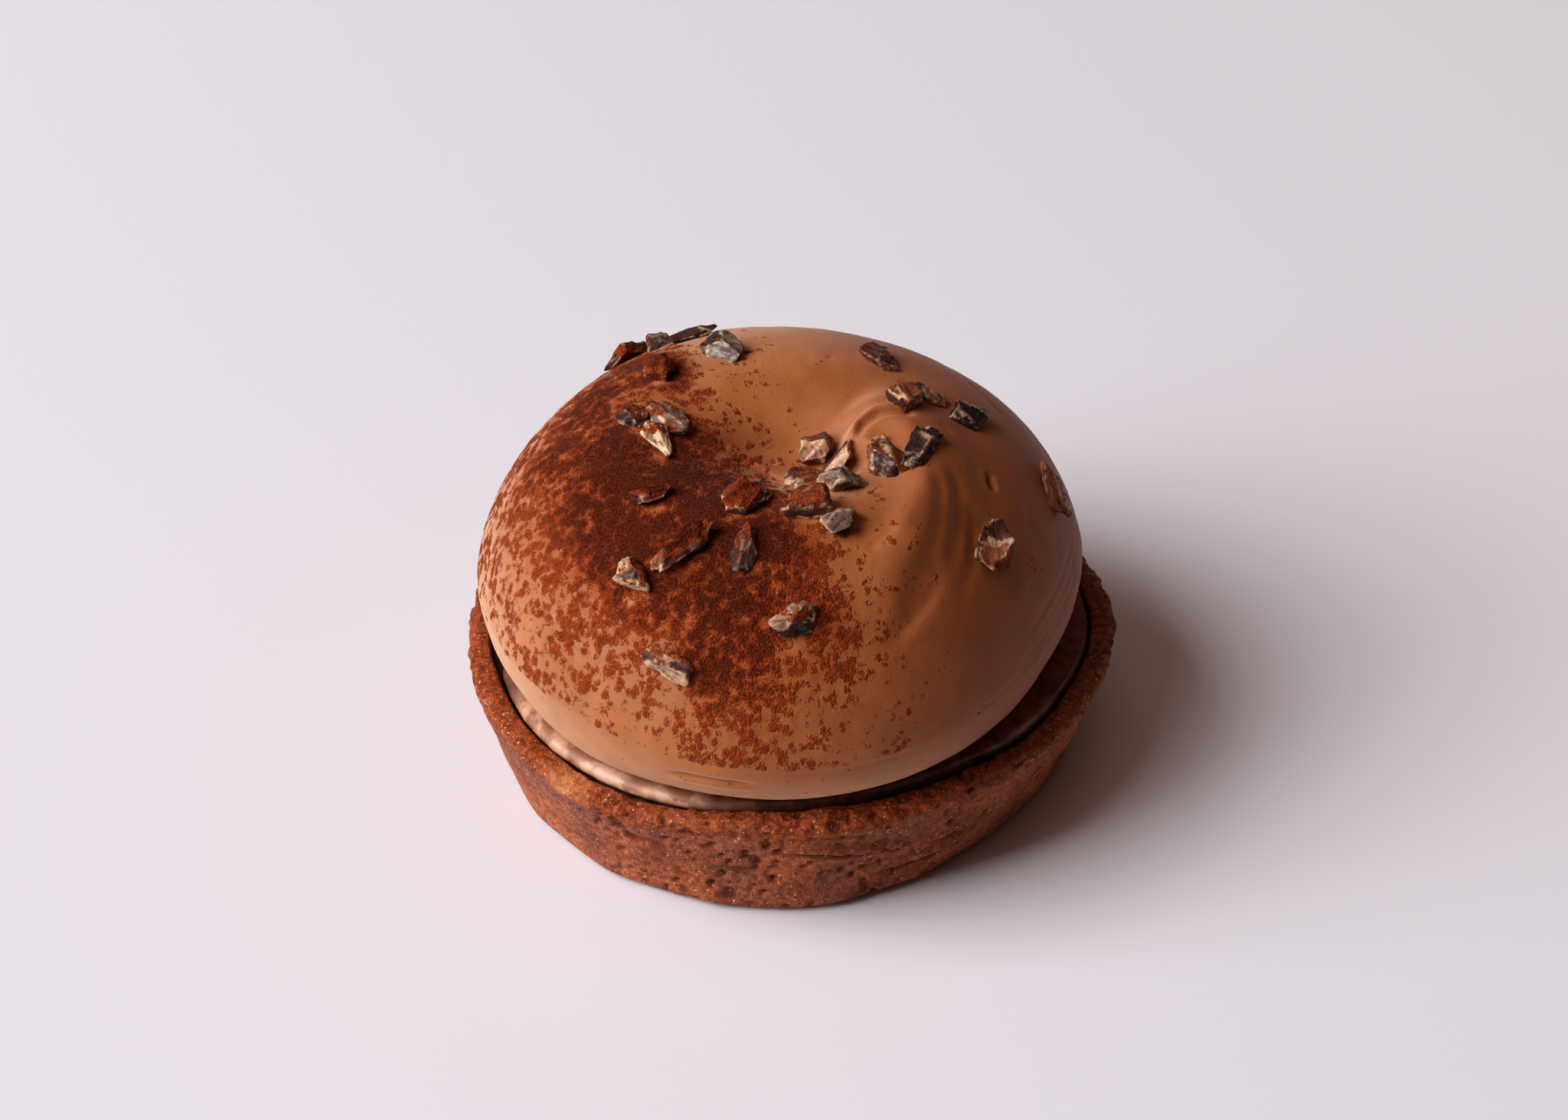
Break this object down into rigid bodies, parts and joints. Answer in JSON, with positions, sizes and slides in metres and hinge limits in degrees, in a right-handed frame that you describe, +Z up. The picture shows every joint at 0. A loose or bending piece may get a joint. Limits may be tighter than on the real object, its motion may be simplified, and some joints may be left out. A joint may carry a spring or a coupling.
{
  "type": "chocolate tart",
  "caption": "Single-serve chocolate tart: short pastry shell filled with ganache under a smooth whipped dome with a swirled hollow, scattered with broken cocoa nibs.",
  "frame": {"origin": "middle of the shell's underside, on the surface it rests on", "axes": "+Z up through the dome, +X to the right and +Y away from someone who looks at the front, where the rim has its crease"},
  "size_m": [0.0808, 0.0793, 0.0498],
  "materials": {
    "shortcrust": "matte, baked and crumbly",
    "ganache": "satin, set",
    "cream": "glossy",
    "whipped_ganache": "soft satin, dusted with cocoa",
    "cocoa_nibs": "satin, with pale broken edges"
  },
  "bodies": {
    "root": {"crust": "shortcrust", "ganache": "ganache", "cream_bed": "cream", "mousse_dome": "whipped_ganache"}
  },
  "joints": []
}
